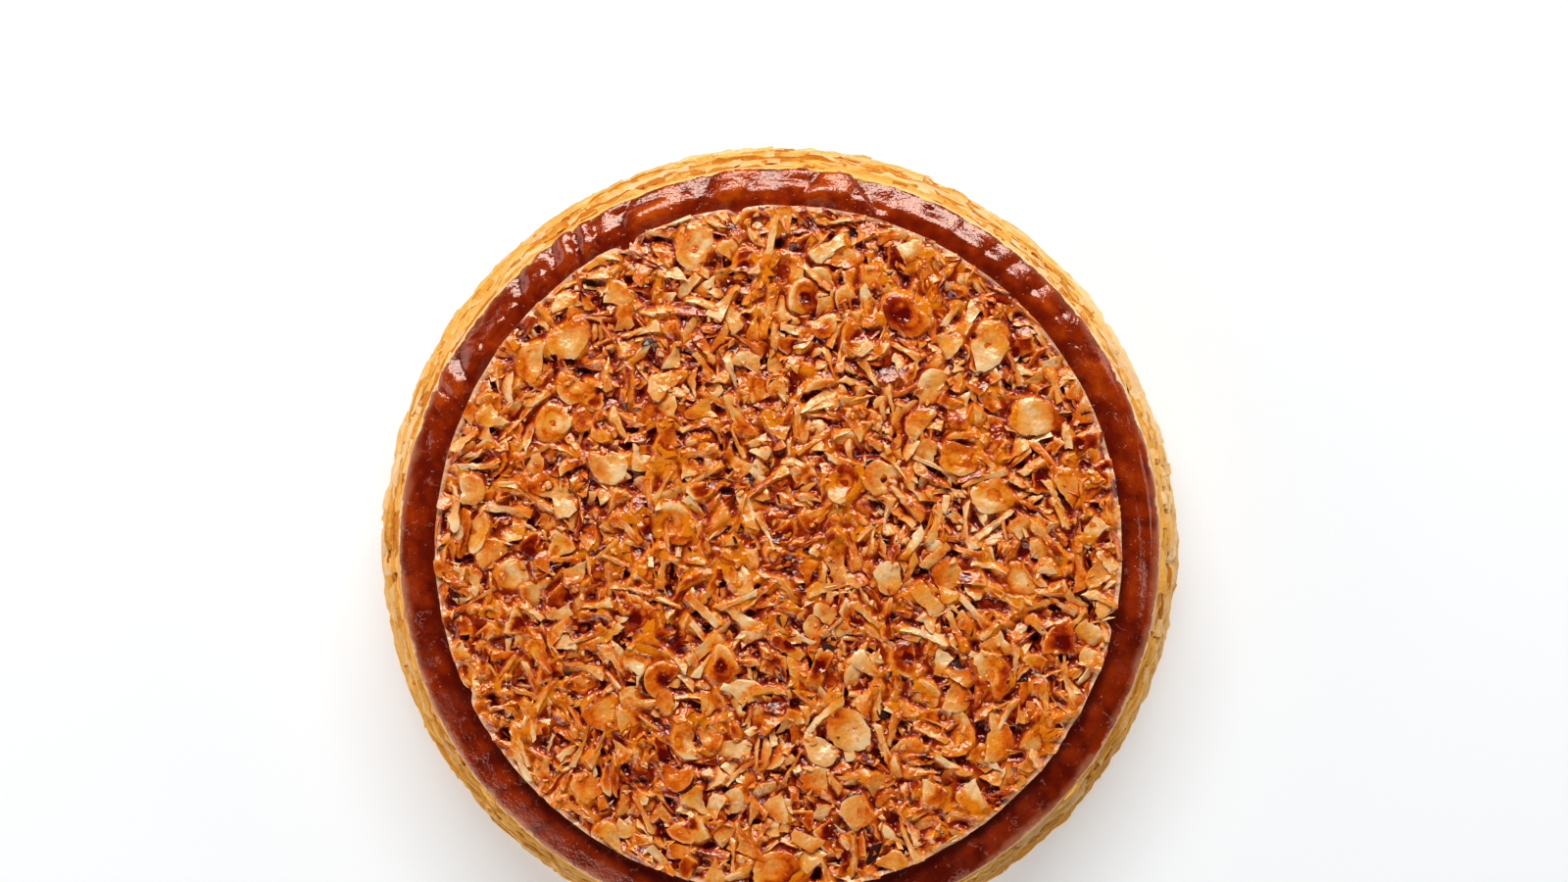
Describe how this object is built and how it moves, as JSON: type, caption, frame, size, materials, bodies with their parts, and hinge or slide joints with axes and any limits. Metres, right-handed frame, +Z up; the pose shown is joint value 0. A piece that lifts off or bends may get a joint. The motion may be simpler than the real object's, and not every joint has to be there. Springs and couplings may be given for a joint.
{
  "type": "galette des rois",
  "caption": "Round puff pastry cake with flaky golden sides and a glazed brown top, covered by a cut disc of sliced hazelnuts set in caramel.",
  "frame": {"origin": "middle of the galette's outline, on the surface that it stands on", "axes": "+Z up through the middle of the disc of nuts, +Y towards the top of the picture"},
  "size_m": [0.2488, 0.249, 0.0443],
  "materials": {
    "baked_pastry": "baked puff pastry, dry and flaky on the side, brown and glazed on the top ring",
    "caramel_nuts": "sliced toasted hazelnuts in clear glossy amber caramel"
  },
  "bodies": {
    "root": {"pastry": "baked_pastry", "nut_disc": "caramel_nuts"}
  },
  "joints": []
}
